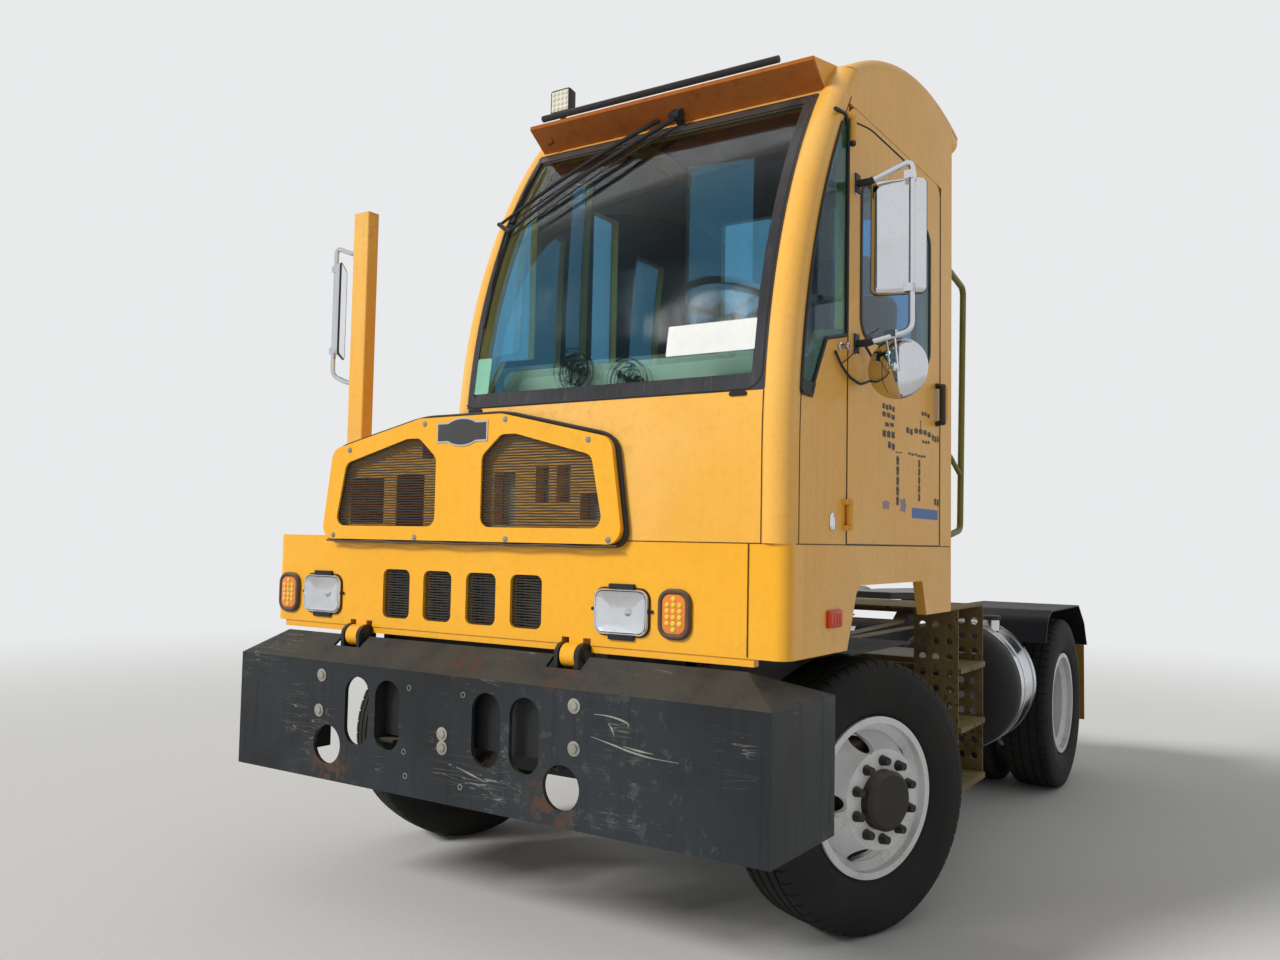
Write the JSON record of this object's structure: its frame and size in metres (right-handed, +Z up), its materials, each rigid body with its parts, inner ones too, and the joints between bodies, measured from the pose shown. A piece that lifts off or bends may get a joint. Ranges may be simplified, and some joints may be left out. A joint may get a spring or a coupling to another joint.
{
  "type": "terminal tractor",
  "caption": "Yard tractor with an offset one-person tilt cab, a sliding rear door, a lifting fifth wheel on a boom, a heavy bumper and twin rear wheels.",
  "frame": {"origin": "centre of the footprint's bounding box on the ground, wheels turned as parked", "axes": "+Z up, -Y towards the front bumper, +X to the driver's left"},
  "size_m": [2.7816, 4.735, 3.3758],
  "materials": {
    "frame_steel": "satin",
    "engine_grey": "matte",
    "yellow_paint": "gloss",
    "bumper_black": "satin",
    "grey_paint": "matte",
    "step_metal": "matte",
    "tank_aluminium": "polished",
    "rubber_flap": "matte",
    "radiator_fins": "matte",
    "tyre": "matte",
    "rim_white": "satin",
    "hub_dark": "matte",
    "mesh_black": "matte",
    "glass": "clear",
    "lamp_clear": "gloss",
    "lamp_amber": "gloss",
    "lamp_red": "gloss",
    "mirror_chrome": "polished",
    "cab_lining": "matte",
    "dash_grey": "matte",
    "seat_fabric": "matte",
    "wheel_plastic": "matte",
    "rail_olive": "satin",
    "plate_steel": "satin",
    "rod_chrome": "polished"
  },
  "bodies": {
    "chassis": {"frame_rails": "frame_steel", "engine": "engine_grey", "crossmembers": "frame_steel", "bumper": "bumper_black", "front_axle": "frame_steel", "leaf_springs": "frame_steel", "rear_axle": "frame_steel", "radiator": "radiator_fins", "fuel_tank": "tank_aluminium", "side_boxes": "grey_paint", "access_ladder": "step_metal", "rear_deck": "step_metal", "fenders": "frame_steel", "mudflaps": "rubber_flap", "tail_lamps": "lamp_red"},
    "knuckle_left": {"knuckle_left": "hub_dark"},
    "knuckle_right": {"knuckle_right": "hub_dark"},
    "tie_rod": {"tie_rod": "frame_steel"},
    "wheel_front_left": {"hub_front_left": "hub_dark", "rim_front_left": "rim_white", "tyre_front_left": "tyre"},
    "wheel_front_right": {"hub_front_right": "hub_dark", "rim_front_right": "rim_white", "tyre_front_right": "tyre"},
    "wheel_rear_left": {"hub_rear_left": "hub_dark", "rim_rear_left": "rim_white", "tyre_rear_left": "tyre"},
    "wheel_rear_right": {"hub_rear_right": "hub_dark", "rim_rear_right": "rim_white", "tyre_rear_right": "tyre"},
    "boom": {"boom": "frame_steel"},
    "fifth_wheel": {"fifth_wheel": "plate_steel"},
    "lift_barrels": {"lift_barrels": "frame_steel"},
    "lift_rods": {"lift_rods": "rod_chrome"},
    "cab": {"front_clip": "yellow_paint", "side_skirts": "yellow_paint", "grille_panel": "yellow_paint", "grille_mesh": "mesh_black", "hood": "yellow_paint", "cab_front": "yellow_paint", "side_panels": "yellow_paint", "rear_panel": "yellow_paint", "roof": "yellow_paint", "visor": "yellow_paint", "cab_floor": "cab_lining", "seat": "seat_fabric", "dash": "dash_grey", "steering_wheel": "wheel_plastic", "headlamps": "lamp_clear", "amber_lamps": "lamp_amber", "mirror_post": "yellow_paint", "mirror_right": "mirror_chrome", "grab_rail": "rail_olive", "cab_glass": "glass"},
    "door_left": {"door_left": "yellow_paint", "door_glass": "glass", "mirror_left": "mirror_chrome"},
    "rear_door": {"rear_door": "yellow_paint", "rear_door_glass": "glass"}
  },
  "joints": [
    {"name": "cab_tilt", "type": "hinge", "parent": "chassis", "child": "cab", "pos_m": [-0.04714, -2.2375, 1.05], "axis": [1, 0, 0], "range_deg": [0, 45]},
    {"name": "door_swing", "type": "hinge", "parent": "cab", "child": "door_left", "pos_m": [1.16586, -1.7705, 2.2], "axis": [0, 0, -1], "range_deg": [0, 75]},
    {"name": "rear_door_slide", "type": "slide", "parent": "cab", "child": "rear_door", "axis": [-1, 0, 0], "range_m": [0, 0.56]},
    {"name": "steer_left", "type": "hinge", "parent": "chassis", "child": "knuckle_left", "pos_m": [0.88286, -1.2525, 0.508], "axis": [0, 0, 1], "range_deg": [-19.6, 64.4]},
    {"name": "steer_right", "type": "hinge", "parent": "chassis", "child": "knuckle_right", "pos_m": [-0.97714, -1.2525, 0.508], "axis": [0, 0, 1], "range_deg": [-19.6, 64.4]},
    {"name": "tie_rod_pin", "type": "hinge", "parent": "knuckle_left", "child": "tie_rod", "pos_m": [0.9552, -1.07681, 0.372], "axis": [0, 0, 1], "range_deg": [-64.4, 19.6]},
    {"name": "spin_front_left", "type": "hinge", "parent": "knuckle_left", "child": "wheel_front_left", "pos_m": [0.99382, -1.29819, 0.508], "axis": [0.9247, -0.3807, 0], "continuous": true},
    {"name": "spin_front_right", "type": "hinge", "parent": "knuckle_right", "child": "wheel_front_right", "pos_m": [-1.08811, -1.20681, 0.508], "axis": [0.9247, -0.3807, 0], "continuous": true},
    {"name": "spin_rear_left", "type": "hinge", "parent": "chassis", "child": "wheel_rear_left", "pos_m": [0.86336, 1.6935, 0.508], "axis": [1, 0, 0], "continuous": true},
    {"name": "spin_rear_right", "type": "hinge", "parent": "chassis", "child": "wheel_rear_right", "pos_m": [-0.95764, 1.6935, 0.508], "axis": [1, 0, 0], "continuous": true},
    {"name": "boom_lift", "type": "hinge", "parent": "chassis", "child": "boom", "pos_m": [-0.04714, 0.2675, 0.88], "axis": [1, 0, 0], "range_deg": [0, 18]},
    {"name": "fifth_wheel_tilt", "type": "hinge", "parent": "boom", "child": "fifth_wheel", "pos_m": [-0.04714, 1.5475, 1.05], "axis": [1, 0, 0], "range_deg": [-18, 15]},
    {"name": "lift_barrel_turn", "type": "hinge", "parent": "chassis", "child": "lift_barrels", "pos_m": [-0.04714, 0.7975, 0.54], "axis": [1, 0, 0], "range_deg": [0, 8.8]},
    {"name": "lift_rod_slide", "type": "slide", "parent": "lift_barrels", "child": "lift_rods", "axis": [0, 0.2305, 0.9731], "range_m": [0, 0.183]}
  ],
  "couplings": [
    {"joint": "steer_right", "follows": "steer_left", "ratio": 1},
    {"joint": "tie_rod_pin", "follows": "steer_left", "ratio": -1},
    {"joint": "lift_barrel_turn", "follows": "boom_lift", "ratio": 0.47467},
    {"joint": "lift_rod_slide", "follows": "boom_lift", "m_per_rad": 0.57952}
  ]
}
